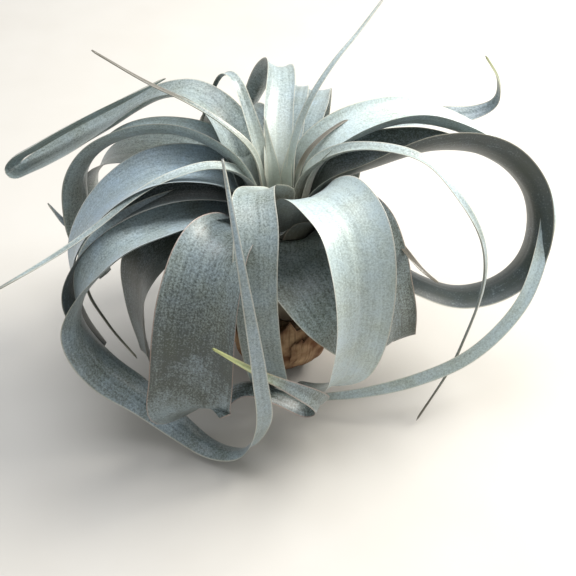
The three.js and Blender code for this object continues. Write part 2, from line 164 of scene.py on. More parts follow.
# %% The planting plan
# bearing turns anticlockwise from +X, in degrees. route holds points of the midrib in millimetres, as
# [reach out from the stem, swing to the side, height]. width, roll and cup are spaced evenly from base
# to tip: millimetres across, the blade's turn about its midrib, and half the angle of its arc.
# silver is how much thicker the coat of scales is than on most leaves, blue how blue it looks, rose
# how pink the rim is, painted_shadow the share of the length where a band of painted shadow darkens
# the leaf, dry_from the share of the length where the tip has dried, lime how yellow-green the tip is,
# and crease the depth of the midrib's fold in mm.
LEAVES = [
    dict(name="leaf_01_heart", bearing=120, width=[8, 8, 6, 3, 1],
         route=[
             [7, 0, 109], [10, 0, 119], [13, 0, 130]
         ]),
    dict(name="leaf_02_heart", bearing=60, width=[8, 8, 6, 3, 1],
         route=[
             [7, 0, 108], [10, 0, 116], [15, 0, 121]
         ]),
    dict(name="leaf_03_upright_right", bearing=45, width=[8, 5, 3.5, 2.5, 1],
         silver=0.2, dry_from=0.95,
         route=[
             [9, 0, 120], [18, 0, 137], [32, 0, 149], [46, 0, 157], [61, 0, 167]
         ]),
    dict(name="leaf_04_upright_left", bearing=165, width=[8, 5, 3, 2, 1],
         silver=-0.2, dry_from=0.6,
         route=[
             [12, 0, 118], [25, 0, 130], [40, 0, 138], [56, 0, 144], [80, 0, 156]
         ]),
    dict(name="leaf_05_thin_right", bearing=35, width=[8, 4.5, 3, 2, 1],
         silver=-0.4, dry_from=0.35,
         route=[
             [14, 0, 113], [25, 0, 120], [37, 0, 123], [50, 0, 124]
         ]),
    dict(name="leaf_06_back_channel", bearing=94, width=[12, 14, 15, 15, 15, 10],
         roll=[0, 0, 8, 16, 10, 0], cup=[50, 50], silver=0.1, blue=0.05,
         route=[
             [14, 0, 108], [30, -1, 120], [48, -3, 125], [65, -3, 123], [77, 3, 110], [81, 10, 92]
         ]),
    dict(name="leaf_07_thin_arch", bearing=124, width=[10, 9, 7, 5, 3, 1],
         silver=0.05,
         route=[
             [14, 0, 108], [24, 0, 126], [34, 0, 138], [44, 0, 136], [52, 3, 121], [56, 8, 102]
         ]),
    dict(name="leaf_08_long_right", bearing=343, width=[14, 14, 7, 5, 4.5, 4, 3, 1],
         silver=0.12, dry_from=0.88,
         route=[
             [13, 0, 112], [28, 0, 126], [46, 0, 130], [62, 0, 127], [78, -5, 115], [88, -5, 99],
             [92, -4, 82], [92, -4, 64], [89, -6, 44], [84, -10, 22], [74, -26, 2]
         ]),
    dict(name="leaf_09_long_left", bearing=200, width=[14, 12, 7, 5, 4, 3, 1],
         silver=0.1, dry_from=0.9,
         route=[
             [17, 0, 112], [29, 0, 119], [44, 0, 119], [60, 0, 114], [80, 2, 103], [98, 4, 95],
             [130, 8, 85]
         ]),
    dict(name="leaf_10_front", bearing=260, width=[12, 9, 14, 18, 18.5, 18, 17.5, 17, 16],
         cup=[60, 60, 45, 22, 20, 20, 18, 18, 18], silver=0.02,
         route=[
             [11, 3, 106], [18, -3, 112], [26, -5, 117], [35, -4, 118], [45, -1, 113], [53, 0, 102],
             [58, 1, 87], [60, 3, 64], [57, 5, 44], [50, 6, 26]
         ]),
    dict(name="leaf_11_back", bearing=83, width=[12, 15, 16, 14, 9, 3],
         silver=0.1, blue=0.1,
         route=[
             [16, 0, 106], [32, 0, 114], [50, 0, 116], [66, 0, 112], [80, 0, 100], [86, 0, 82]
         ]),
    dict(name="leaf_12_right_sweep", bearing=20, width=[16, 27, 30, 28, 21, 13, 7.5, 6.5, 6.5, 6, 4],
         roll=[0, -4, -8, -10, -8, 5, 35, 45, 45, 40, 40], cup=[60, 60, 60, 55, 45, 30, 20, 20],
         silver=0.35,
         route=[
             [18, 0, 112], [34, 0, 121], [56, 0, 123], [80, -2, 115], [102, -8, 102], [113, -22, 94],
             [112, -37, 87], [105, -49, 76], [92, -60, 56], [69, -63, 35], [45, -58, 22], [20, -50, 14],
             [4, -42, 9]
         ]),
    dict(name="leaf_13_left_arch", bearing=168, width=[16, 24, 26, 25, 23, 20, 16, 8],
         roll=[0, 8, 20, 25, 20, 25, 40, 40], cup=[60, 60, 58, 50, 40, 30, 25], silver=0.25,
         route=[
             [20, 0, 111], [32, 0, 120], [46, 0, 123], [62, 1, 121], [78, 3, 113], [88, 6, 100],
             [91, 9, 81], [89, 12, 64], [80, 15, 50]
         ]),
    dict(name="leaf_14_back_broad", bearing=78, width=[14, 22, 26, 25, 18, 12, 4],
         silver=0.1, blue=0.1,
         route=[
             [18, 0, 103], [36, 0, 110], [56, 0, 110], [74, 0, 106], [86, 0, 93], [90, 0, 74],
             [84, 0, 56]
         ]),
    dict(name="leaf_15_right_loop", bearing=5, width=[16, 31, 38, 37, 28, 21, 20, 19, 17],
         roll=[0, 0, -5, -25, -42, -40, -35, -33, -33], cup=[60, 58, 58, 50, 35, 22, 20, 20],
         silver=-0.35, blue=0.1,
         route=[
             [22, 0, 106], [44, 1, 112], [66, 2, 116], [84, 2, 114], [99, 0, 107], [110, -5, 95],
             [113, -12, 80], [109, -18, 66], [97, -22, 57], [79, -22, 53], [62, -17, 57], [49, -8, 61]
         ]),
    dict(name="leaf_16_left_broad", bearing=188, width=[16, 29, 31, 31, 29, 26, 20, 8],
         silver=0.18, blue=0.25,
         route=[
             [22, 0, 106], [36, 0, 113], [52, 0, 114], [68, 1, 107], [82, 3, 94], [91, 6, 78],
             [92, 10, 60]
         ]),
    # leaf_17's high silver is partly a thicker coat and partly a painted highlight along its bright band.
    dict(name="leaf_17_front_right_broad", bearing=301, width=[18, 22, 25, 30, 29, 26, 24, 20, 10],
         roll=[0, -12, 12, 5, 0, 0], cup=[50, 40, 32, 34, 36, 32, 25], silver=0.38, crease=0.6, rose=0.2,
         route=[
             [22, 0, 109], [38, 0, 119], [54, 0, 117], [65, -2, 104], [70, -4, 82], [69, -6, 59],
             [62, -6, 40], [50, -9, 27], [38, -13, 20]
         ]),
    dict(name="leaf_18_left_hairpin", bearing=150,
         width=[18, 32, 33, 29, 20, 19, 22, 22, 18, 10, 8, 7, 5, 1],
         roll=[0, 0, 0, 0, 0, -10, -20, -20, -20, -25, -30, -30],
         route=[
             [22, 0, 112], [34, -3, 127], [47, -4, 131], [58, -1, 129], [68, 3, 123], [80, 9, 114],
             [92, 15, 106], [103, 22, 98], [114, 29, 91], [123, 34, 86], [126, 34, 89], [123, 32, 94],
             [116, 28, 99], [103, 20, 108], [86, 11, 119], [70, 2, 129], [59, -3, 136]
         ]),
    dict(name="leaf_19_right_hook", bearing=45, width=[14, 19, 17, 14, 12, 12, 9, 4, 1],
         roll=[0, 0, 5, 20, 35, 40, 40, 20, 0], silver=-0.02, blue=0.2, lime=0.7,
         route=[
             [20, 0, 105], [34, 0, 110], [56, 0, 109], [78, -4, 104], [98, -12, 99], [112, -20, 98],
             [119, -27, 104], [118, -27, 116], [108, -24, 132]
         ]),
    dict(name="leaf_20_left_under", bearing=194, width=[16, 26, 28, 26, 24, 18, 8],
         roll=[0, 0, 0, 10, 35, 40], silver=-0.35, blue=0.15,
         route=[
             [22, 0, 100], [38, 0, 106], [54, 0, 105], [73, 1, 97], [87, 3, 82], [94, 6, 65],
             [92, 9, 50], [85, 14, 38]
         ]),
    dict(name="leaf_21_left_loop", bearing=206,
         width=[16, 28, 30, 30, 28, 26, 22, 16, 11, 8, 7, 6, 4.5, 2.6, 1],
         roll=[0, 0, 0, 0, 8, 35, 55, 65, 55, 35, 0, 0, 0, 0, 0], silver=0.12, blue=0.15,
         route=[
             [24, 0, 96], [40, 1, 100], [58, 2, 100], [76, 3, 96], [90, 3, 82], [96, 3, 64], [94, 6, 49],
             [88, 12, 37], [79, 20, 28], [66, 33, 13], [56, 46, 6], [47, 57, 11], [41, 68, 38],
             [44, 73, 73], [47, 73, 105], [48, 66, 136], [46, 51, 162]
         ]),
    # leaf_22 has a band of painted shadow across the middle of its length.
    dict(name="leaf_22_front_left_broad", bearing=245,
         width=[18, 32, 31, 26, 28, 35, 37, 37, 37, 38, 18, 12, 11, 8, 4.5, 2.5, 1],
         roll=[0, 0, 0, -5, -12, -22, -28, -22, 0, 0, 0, 0], silver=-0.12, blue=0.05, lime=1.0,
         crease=0.5, rose=0.7, painted_shadow=0.44,
         route=[
             [24, 0, 90], [36, -2, 101], [50, -3, 104], [62, -3, 94], [70, -4, 75], [75, -5, 52],
             [77, -6, 35], [71, -4, 31], [58, 10, 38], [54, 26, 34], [52, 38, 30], [53, 44, 36],
             [59, 43, 46], [66, 36, 56], [76, 26, 70], [87, 13, 88]
         ]),
    dict(name="leaf_23_right_broad", bearing=330, width=[16, 32, 34, 32, 30, 29, 27, 24],
         roll=[0, 0, 0, 0, 9, 28], silver=-0.27, rose=0.5, crease=0.4,
         route=[
             [22, 0, 95], [34, 0, 99], [44, 0, 94], [51, 0, 79], [56, 0, 60], [58, 1, 46], [58, 2, 34]
         ]),
    dict(name="leaf_24_back_left", bearing=112, width=[16, 30, 32, 30, 26, 18, 8],
         route=[
             [24, 0, 98], [42, 0, 105], [60, 0, 102], [74, 0, 87], [80, 0, 66], [76, 0, 44], [64, 0, 30]
         ]),
    dict(name="leaf_25_back_right", bearing=63, width=[16, 28, 30, 28, 24, 16, 8],
         route=[
             [24, 0, 95], [38, 0, 99], [52, 0, 94], [61, 0, 80], [64, 0, 60], [60, 0, 42], [50, 0, 28]
         ]),
    dict(name="leaf_26_front_right_under", bearing=303, width=[16, 36, 44, 41, 31, 16],
         silver=-0.15,
         route=[
             [24, -3, 82], [34, -5, 80], [45, -5, 75], [51, 0, 62], [50, 8, 40]
         ]),
    dict(name="leaf_27_left_inner", bearing=160, width=[16, 28, 30, 29, 23, 10],
         route=[
             [24, 0, 97], [44, 0, 104], [64, 0, 104], [84, 0, 96], [94, 0, 80], [92, 0, 58]
         ]),
    dict(name="leaf_28_thin_right_low", bearing=348, width=[12, 9, 7, 6, 5, 4.5, 3.5, 1],
         silver=-0.4, dry_from=0.3,
         route=[
             [26, 0, 84], [38, 0, 87], [48, 0, 85], [55, -3, 80], [60, -10, 80], [66, -14, 77],
             [73, -13, 71]
         ]),
    dict(name="leaf_29_right_low", bearing=32, width=[16, 26, 26, 24, 18, 8],
         route=[
             [22, 0, 83], [33, 0, 84], [41, 0, 75], [44, 0, 58], [42, 0, 38], [34, 0, 24]
         ]),
    dict(name="leaf_30_back_low", bearing=82, width=[16, 30, 32, 30, 26, 18, 8],
         route=[
             [24, 0, 90], [42, 0, 95], [58, 0, 90], [70, 0, 74], [76, 0, 54], [74, 0, 34], [64, 0, 20]
         ]),
    dict(name="leaf_31_left_low", bearing=150, width=[14, 22, 22, 18, 12, 1],
         silver=-0.15, blue=0.4,
         route=[
             [30, 0, 92], [52, 6, 94], [74, 14, 80], [88, 22, 62], [101, 28, 59], [109, 31, 72]
         ]),
    dict(name="leaf_32_thin_left_low", bearing=193, width=[10, 8, 5, 4, 3, 1],
         silver=-0.35,
         route=[
             [28, 0, 84], [56, 0, 92], [78, 0, 84], [88, 0, 64], [82, 0, 38], [71, 0, 12]
         ]),
    dict(name="leaf_33_front_left_low", bearing=204, width=[14, 32, 35, 33, 22],
         silver=-0.4,
         route=[
             [26, 0, 82], [48, 0, 89], [64, 0, 76], [68, 0, 50], [66, 0, 20]
         ]),
    dict(name="leaf_34_back_left_low", bearing=130, width=[16, 28, 30, 26, 20, 10],
         route=[
             [24, 0, 82], [44, 0, 86], [62, 0, 80], [74, 0, 62], [78, 0, 42], [72, 0, 22]
         ]),
]
print("leaves planned:", len(LEAVES))

# %% [markdown]
# ## From a route to a midrib
# A spline with centripetal spacing goes through every route point without loops, and a few smoothing
# passes take out the last small changes of pace, as a living leaf has none. At each step along it the
# blade also needs to know which way is sideways and which way is up. Carrying the last sideways
# direction forward, instead of working it out afresh, keeps the blade from flipping where it curls over.

# %% Seats and collars
STEM_FOOT_RADIUS = 14
STEM_SHOULDER_HEIGHT = 20
STEM_NECK_RADIUS = 5
STEM_NECK_HEIGHT = 90
STEM_TOP_HEIGHT = 95
SEAT_CLEARANCE = 0.9
YOUNGEST_SEAT_HEIGHT = 88
SEAT_STEP = 2.2
YOUNGEST_COLLAR_REACH = 6
COLLAR_REACH_STEP = 0.55
YOUNGEST_COLLAR_HEIGHT = 100
COLLAR_HEIGHT_STEP = 0.5


def stem_radius(height):
    """The stem's radius at a height, both in mm."""
    share = (height - STEM_SHOULDER_HEIGHT) / (STEM_NECK_HEIGHT - STEM_SHOULDER_HEIGHT)
    share = min(max(share, 0.0), 1.0)
    return STEM_FOOT_RADIUS + (STEM_NECK_RADIUS - STEM_FOOT_RADIUS) * share


def with_base(leaf, age):
    """The leaf's route with its seat on the stem and its collar put in front."""
    seat_height = YOUNGEST_SEAT_HEIGHT - SEAT_STEP * age
    seat = [stem_radius(seat_height) + SEAT_CLEARANCE, 0, seat_height]
    collar_reach = YOUNGEST_COLLAR_REACH + COLLAR_REACH_STEP * age
    collar_height = YOUNGEST_COLLAR_HEIGHT - COLLAR_HEIGHT_STEP * age
    return [seat, [collar_reach, 0, collar_height]] + leaf["route"]


print("oldest seat height, mm:", YOUNGEST_SEAT_HEIGHT - SEAT_STEP * (len(LEAVES) - 1))

# %% A smooth line through points
SPLINE_STEPS = 24
SMOOTHING_PASSES = 3


def knot_gap(a, b):
    """Centripetal spacing: the square root of the distance."""
    return max((b - a).length ** 0.5, 1e-6)


def spline(points):
    """Close-set points on a centripetal Catmull-Rom line through the given ones."""
    ends = [2 * points[0] - points[1]] + points + [2 * points[-1] - points[-2]]
    line = []
    for p0, p1, p2, p3 in zip(ends, ends[1:], ends[2:], ends[3:]):
        g0, g1, g2 = knot_gap(p0, p1), knot_gap(p1, p2), knot_gap(p2, p3)
        slope1 = ((p1 - p0) / g0 - (p2 - p0) / (g0 + g1) + (p2 - p1) / g1) * g1
        slope2 = ((p2 - p1) / g1 - (p3 - p1) / (g1 + g2) + (p3 - p2) / g2) * g1
        for step in range(SPLINE_STEPS):
            t = step / SPLINE_STEPS
            line.append(p1 + slope1 * t + (3 * (p2 - p1) - 2 * slope1 - slope2) * t * t
                        + (2 * (p1 - p2) + slope1 + slope2) * t ** 3)
    return line + [points[-1]]


def evenly_set(line, count):
    """Points at even distances along a line, and the line's length."""
    lengths = [0.0]
    for a, b in zip(line, line[1:]):
        lengths.append(lengths[-1] + (b - a).length)
    out, place = [], 0
    for i in range(count + 1):
        want = lengths[-1] * i / count
        while place < len(line) - 2 and lengths[place + 1] < want:
            place += 1
        share = (want - lengths[place]) / max(lengths[place + 1] - lengths[place], 1e-9)
        out.append(line[place].lerp(line[place + 1], min(share, 1.0)))
    return out, lengths[-1]


def smoothed(values, passes):
    """Each value moved towards its neighbours' mean, with both ends kept."""
    for _ in range(passes):
        middle = [(a + b * 2 + c) / 4 for a, b, c in zip(values, values[1:], values[2:])]
        values = [values[0]] + middle + [values[-1]]
    return values


def along_list(values, share):
    """A value from a list that is spaced evenly from base to tip."""
    place = share * (len(values) - 1)
    before = min(int(place), len(values) - 2)
    return values[before] + (values[before + 1] - values[before]) * (place - before)


print("spline steps a span:", SPLINE_STEPS)

# %% Frames along a midrib
RING_SPACING = 1.8
FEWEST_RINGS = 24
# A blade's width is at most this many times its distance from the stem's middle line.
BASE_ROOM = 2.4
MOST_CUP = 78
LEAF_CUP = [55, 50, 34, 25, 20]
LIST_SMOOTHING = 5


def midrib(bearing, route):
    """The route as points in mm, and the direction that lies sideways at its base."""
    angle = math.radians(bearing)
    outward = Vector((math.cos(angle), math.sin(angle), 0))
    sideways = Vector((-math.sin(angle), math.cos(angle), 0))
    points = [outward * reach + sideways * swing + Vector((0, 0, height))
              for reach, swing, height in route]
    return points, sideways


def blade_frames(plan, route, fits_stem=True):
    """Rings along the blade: centre, side, upper, half width in mm, and cup in radians."""
    points, across = midrib(plan["bearing"], route)
    line = spline(points)
    length = evenly_set(line, 2)[1]
    count = max(FEWEST_RINGS, round(length / RING_SPACING))
    centres = smoothed(evenly_set(line, count)[0], SMOOTHING_PASSES)
    widths, cups, rolls = [], [], []
    for i, centre in enumerate(centres):
        share = i / count
        width = along_list(plan["width"], share)
        cup = along_list(plan.get("cup", LEAF_CUP), share)
        if fits_stem:
            reach = max(math.hypot(centre.x, centre.y), 1.0)
            width = min(width, BASE_ROOM * reach)
            cup = max(cup, min(MOST_CUP, math.degrees(width / 2 / reach)))
        widths.append(width)
        cups.append(cup)
        rolls.append(along_list(plan.get("roll", [0, 0]), share))
    widths, cups, rolls = (smoothed(values, LIST_SMOOTHING) for values in (widths, cups, rolls))
    rings = []
    for i, centre in enumerate(centres):
        along = (centres[min(i + 1, count)] - centres[max(i - 1, 0)]).normalized()
        across = (across - along * across.dot(along)).normalized()
        side = Matrix.Rotation(math.radians(rolls[i]), 3, along) @ across
        rings.append((centre, side, along.cross(side), widths[i] / 2, math.radians(cups[i])))
    return rings


print("ring spacing, mm:", RING_SPACING)

# %% [markdown]
# ## One rule for every blade
# A leaf of this plant is a long thin channel: thickest at the midrib, thin at both rims, with fine veins
# along it. It could be sculpted, but all of the blades follow one rule, so Geometry Nodes build it once.
# A grid is wrapped into a closed tube, its rows are sent along the midrib, and its columns round a thin
# lens that is bent into an arc. The same rule with other sizes makes the torn papery sheaths.

# %% The blade's inputs
blade_rule = bpy.data.node_groups.new("blade on a midrib", "GeometryNodeTree")
BLADE_INPUTS = {
    "Midrib": "NodeSocketGeometry",
    "Rings": "NodeSocketInt",
    "Columns": "NodeSocketInt",
    "Middle thickness": "NodeSocketFloat",
    "Edge thickness": "NodeSocketFloat",
    "Ripple height": "NodeSocketFloat",
    "Ripple length": "NodeSocketFloat",
    "Crease depth": "NodeSocketFloat",
    "Crease width": "NodeSocketFloat",
    "Vein height": "NodeSocketFloat",
    "Vein spacing": "NodeSocketFloat",
    "Vein length": "NodeSocketFloat",
    "Tear depth": "NodeSocketFloat",
    "Tear count": "NodeSocketFloat",
    "Look": "NodeSocketVector",
    "Coat": "NodeSocketVector",
    "Seed": "NodeSocketInt",
    "Material": "NodeSocketMaterial",
}
for label, kind in BLADE_INPUTS.items():
    blade_rule.interface.new_socket(name=label, in_out="INPUT", socket_type=kind)
blade_rule.interface.new_socket(name="Blade", in_out="OUTPUT", socket_type="NodeSocketGeometry")
SOCKET_ID = {item.name: item.identifier for item in blade_rule.interface.items_tree}
print("blade inputs:", len(BLADE_INPUTS))

# %% Where each point of the grid belongs
tree = blade_rule
given = add(tree, "NodeGroupInput")
seed = given["Seed"]
loop = add(tree, "ShaderNodeMath", {0: given["Columns"], 1: 2.0, 2: 1.0}, operation="MULTIPLY_ADD")[0]
rows = add(tree, "ShaderNodeMath", {0: given["Rings"], 1: 1.0}, operation="ADD")[0]
grid = add(tree, "GeometryNodeMeshGrid", {"Vertices X": loop, "Vertices Y": rows})["Mesh"]
spot = add(tree, "ShaderNodeSeparateXYZ", {0: add(tree, "GeometryNodeInputPosition")[0]})
turn = add(tree, "ShaderNodeMath", {0: spot[0], 1: math.tau, 2: math.pi}, operation="MULTIPLY_ADD")[0]
whole_share = add(tree, "ShaderNodeMath", {0: spot[1], 1: 0.5}, operation="ADD")[0]
across = add(tree, "ShaderNodeMath", {0: turn}, operation="COSINE")[0]
lift = add(tree, "ShaderNodeMath", {0: turn}, operation="SINE")[0]
across_squared = add(tree, "ShaderNodeMath", {0: across, 1: across}, operation="MULTIPLY")[0]

# A torn end is a blade that stops early by an amount that changes across it.
tear_place = add(tree, "ShaderNodeMath", {0: across, 1: given["Tear count"]}, operation="MULTIPLY")[0]
tear_spot = add(tree, "ShaderNodeCombineXYZ", {0: tear_place})[0]
tear_noise = add(tree, "ShaderNodeTexNoise",
                 {"Vector": tear_spot, "W": seed, "Scale": 1.0, "Detail": 3.0}, noise_dimensions="4D")[0]
torn = add(tree, "ShaderNodeMath", {0: tear_noise, 1: given["Tear depth"]}, operation="MULTIPLY")[0]
kept = add(tree, "ShaderNodeMath", {0: 1.0, 1: torn}, operation="SUBTRACT")[0]
share = add(tree, "ShaderNodeMath", {0: whole_share, 1: kept}, operation="MULTIPLY")[0]

line = add(tree, "GeometryNodeMeshToCurve", {0: given["Midrib"]})[0]
length = add(tree, "GeometryNodeCurveLength", {0: line})[0]
sampled = {}
RING_NOTES = {"side": "FLOAT_VECTOR", "upper": "FLOAT_VECTOR", "half_width": "FLOAT", "cup": "FLOAT"}
for label, kind in RING_NOTES.items():
    stored = add(tree, "GeometryNodeInputNamedAttribute", {"Name": label}, data_type=kind)[0]
    sampled[label] = add(tree, "GeometryNodeSampleCurve",
                         {"Curves": line, "Value": stored, "Factor": share}, mode="FACTOR", data_type=kind)
centre = sampled["side"]["Position"]
side, upper, half_width, cup = (sampled[label][0] for label in ("side", "upper", "half_width", "cup"))
distance = add(tree, "ShaderNodeMath", {0: share, 1: length}, operation="MULTIPLY")[0]
mm_across = add(tree, "ShaderNodeMath", {0: across, 1: half_width}, operation="MULTIPLY")[0]
print("nodes so far:", len(tree.nodes))

# %% The arc, the lens and the natural unevenness
radius = add(tree, "ShaderNodeMath", {0: half_width, 1: cup}, operation="DIVIDE")[0]
angle = add(tree, "ShaderNodeMath", {0: cup, 1: across}, operation="MULTIPLY")[0]
sine = add(tree, "ShaderNodeMath", {0: angle}, operation="SINE")[0]
cosine = add(tree, "ShaderNodeMath", {0: angle}, operation="COSINE")[0]
arc_out = add(tree, "ShaderNodeMath", {0: radius, 1: sine}, operation="MULTIPLY")[0]
arc_drop = add(tree, "ShaderNodeMath", {0: 1.0, 1: cosine}, operation="SUBTRACT")[0]
arc_up = add(tree, "ShaderNodeMath", {0: radius, 1: arc_drop}, operation="MULTIPLY")[0]

thick = add(tree, "ShaderNodeMix",
            {0: across_squared, 2: given["Middle thickness"], 3: given["Edge thickness"]})[0]
# The tube closes over the last small share of the length at each end.
END_SHARE = 0.008
tip_open = add(tree, "ShaderNodeMapRange", {0: whole_share, 1: 1.0, 2: 1.0 - END_SHARE})[0]
base_open = add(tree, "ShaderNodeMapRange", {0: whole_share, 1: 0.0, 2: END_SHARE})[0]
both_open = add(tree, "ShaderNodeMath", {0: tip_open, 1: base_open}, operation="MULTIPLY")[0]
half_thick = add(tree, "ShaderNodeMath", {0: thick, 1: both_open}, operation="MULTIPLY")[0]
skin_up = add(tree, "ShaderNodeMath", {0: half_thick, 1: lift}, operation="MULTIPLY")[0]
skin_half = add(tree, "ShaderNodeMath", {0: skin_up, 1: 0.5}, operation="MULTIPLY")[0]

ripple_place = add(tree, "ShaderNodeMath", {0: distance, 1: given["Ripple length"]}, operation="DIVIDE")[0]
ripple_spot = add(tree, "ShaderNodeCombineXYZ", {0: across, 1: ripple_place})[0]
ripple_noise = add(tree, "ShaderNodeTexNoise",
                   {"Vector": ripple_spot, "W": seed, "Scale": 1.0, "Detail": 1.0},
                   noise_dimensions="4D")[0]
ripple_swing = add(tree, "ShaderNodeMapRange", {0: ripple_noise, 3: -1.0, 4: 1.0}, clamp=False)[0]
ripple_edge = add(tree, "ShaderNodeMath", {0: ripple_swing, 1: across_squared}, operation="MULTIPLY")[0]
ripple = add(tree, "ShaderNodeMath", {0: ripple_edge, 1: given["Ripple height"]}, operation="MULTIPLY")[0]

vein_x = add(tree, "ShaderNodeMath", {0: mm_across, 1: given["Vein spacing"]}, operation="DIVIDE")[0]
vein_y = add(tree, "ShaderNodeMath", {0: distance, 1: given["Vein length"]}, operation="DIVIDE")[0]
vein_spot = add(tree, "ShaderNodeCombineXYZ", {0: vein_x, 1: vein_y})[0]
vein_noise = add(tree, "ShaderNodeTexNoise",
                 {"Vector": vein_spot, "W": seed, "Scale": 1.0, "Detail": 1.0}, noise_dimensions="4D")[0]
vein = add(tree, "ShaderNodeMath", {0: vein_noise, 1: given["Vein height"]}, operation="MULTIPLY")[0]

crease_x = add(tree, "ShaderNodeMath", {0: mm_across, 1: given["Crease width"]}, operation="DIVIDE")[0]
crease_squared = add(tree, "ShaderNodeMath", {0: crease_x, 1: crease_x}, operation="MULTIPLY")[0]
crease_far = add(tree, "ShaderNodeMath", {0: crease_squared, 1: -1.0}, operation="MULTIPLY")[0]
crease_bell = add(tree, "ShaderNodeMath", {0: crease_far}, operation="EXPONENT")[0]
crease = add(tree, "ShaderNodeMath", {0: crease_bell, 1: given["Crease depth"]}, operation="MULTIPLY")[0]

up_1 = add(tree, "ShaderNodeMath", {0: arc_up, 1: ripple}, operation="ADD")[0]
up_2 = add(tree, "ShaderNodeMath", {0: up_1, 1: vein}, operation="ADD")[0]
up_3 = add(tree, "ShaderNodeMath", {0: up_2, 1: crease}, operation="SUBTRACT")[0]
up_all = add(tree, "ShaderNodeMath", {0: up_3, 1: skin_half}, operation="ADD")[0]
out_move = add(tree, "ShaderNodeVectorMath", {0: side, "Scale": arc_out}, operation="SCALE")[0]
up_move = add(tree, "ShaderNodeVectorMath", {0: upper, "Scale": up_all}, operation="SCALE")[0]
moved = add(tree, "ShaderNodeVectorMath", {0: out_move, 1: up_move}, operation="ADD")[0]
final_place = add(tree, "ShaderNodeVectorMath", {0: centre, 1: moved}, operation="ADD")[0]
print("nodes so far:", len(tree.nodes))

# %% What the material needs to know, and the finished mesh
# place: mm across, mm along, and the face of the blade (above 0 is the upper one).
# part: share across, share along, and the half width in mm. look: blue, dry_from and lime.
# coat: silver, rose and the share of the length of a band of painted shadow.
TO_MM = 1000.0
x_mm = add(tree, "ShaderNodeMath", {0: mm_across, 1: TO_MM}, operation="MULTIPLY")[0]
y_mm = add(tree, "ShaderNodeMath", {0: distance, 1: TO_MM}, operation="MULTIPLY")[0]
half_mm = add(tree, "ShaderNodeMath", {0: half_width, 1: TO_MM}, operation="MULTIPLY")[0]
notes = {
    "place": add(tree, "ShaderNodeCombineXYZ", {0: x_mm, 1: y_mm, 2: lift})[0],
    "part": add(tree, "ShaderNodeCombineXYZ", {0: across, 1: whole_share, 2: half_mm})[0],
    "look": given["Look"],
    "coat": given["Coat"],
}
mesh = grid
for label, value in notes.items():
    mesh = add(tree, "GeometryNodeStoreNamedAttribute",
               {"Geometry": mesh, "Name": label, "Value": value},
               data_type="FLOAT_VECTOR", domain="POINT")[0]
mesh = add(tree, "GeometryNodeSetPosition", {"Geometry": mesh, "Position": final_place})[0]
WELD = 1e-6
mesh = add(tree, "GeometryNodeMergeByDistance", {"Geometry": mesh, "Distance": WELD})[0]
mesh = add(tree, "GeometryNodeSetShadeSmooth", {"Geometry": mesh})[0]
mesh = add(tree, "GeometryNodeRealizeInstances", {"Geometry": mesh})[0]
mesh = add(tree, "GeometryNodeSetMaterial", {"Geometry": mesh, "Material": given["Material"]})[0]
add(tree, "NodeGroupOutput", {0: mesh})
print("nodes in the rule:", len(tree.nodes))

# %% Laying one blade
def lay_blade(name, node, rings, material, sizes):
    """Runs the rule on one midrib, keeps the plain mesh, and puts it in place of its CAD node."""
    sketch = bpy.data.meshes.new(name + "_midrib")
    sketch.from_pydata([ring[0] * MM for ring in rings], [(i, i + 1) for i in range(len(rings) - 1)], [])
    for place, (label, kind) in enumerate(RING_NOTES.items(), start=1):
        stored = sketch.attributes.new(label, kind, "POINT")
        if kind == "FLOAT":
            scale = MM if label == "half_width" else 1.0
            stored.data.foreach_set("value", [ring[place] * scale for ring in rings])
        else:
            stored.data.foreach_set("vector", [c for ring in rings for c in ring[place]])
    holder = bpy.data.objects.new(name + "_midrib", sketch)
    scene.collection.objects.link(holder)
    modifier = holder.modifiers.new("blade", "NODES")
    modifier.node_group = blade_rule
    for label, value in {"Rings": len(rings) - 1, "Material": material, **sizes}.items():
        modifier[SOCKET_ID[label]] = value
    evaluated = holder.evaluated_get(bpy.context.evaluated_depsgraph_get())
    mesh = bpy.data.meshes.new_from_object(evaluated)
    bpy.data.objects.remove(holder)
    mesh.name = name
    piece = bpy.data.objects.new(name, mesh)
    scene.collection.objects.link(piece)
    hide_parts(node)
    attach(piece, "root")
    return piece


print("blade maker ready")

# %% [markdown]
# ## The leaf's skin
# The leaf is grey because it is covered with tiny silver scales that drink fog. They lie densely on the
# upper face and more thinly below, where the green flesh shows through, and the lower face is also
# darkened with painted shade. One material reads the notes that the rule stored on the mesh: which face
# it is, how near the rim, and how far along the leaf. A painted texture could not follow 34 curling
# blades without stretching, and stored notes do.

# %% Leaf material
# Living leaf with a felt of silver scales: matt, with a soft sheen where it turns away from the eye.
# Real scales are about 0.2 mm; they are drawn at 0.8 mm so that the grain shows at all.
SCALE_GRAIN = 0.8
MOTTLE_SIZE = 14
VEIN_WIDTH = 1.1
VEIN_RUN = 55
RIM_WIDTH = 0.7
BASE_PALE_LENGTH = 60
BASE_PALE_FULL = 20.0
# The band of painted shadow: how far along the leaf it reaches, and how much coat it takes away.
SHADOW_REACH = 0.13
SHADOW_DEPTH = 0.36
# Shares of silver coat: on each face, where the lower face's smaller share is partly thinner scales
# and partly painted shade, and how far patches, specks and veins swing it either way.
LOWER_COAT_AND_SHADE = 0.27
UPPER_COAT = 0.47
PATCH_SWING = 0.14
SPECK_SWING = 0.3
VEIN_SWING = 0.1
# Noise keeps near its middle, so it is spread from between these two values.
NOISE_LOW = 0.3
NOISE_HIGH = 0.7
# How far the edge of the band of painted shadow wanders.
SHADOW_WANDER = 0.12
FACE_BLEND = 0.15
LIME_FROM = 0.86
DRY_RUN = 0.08


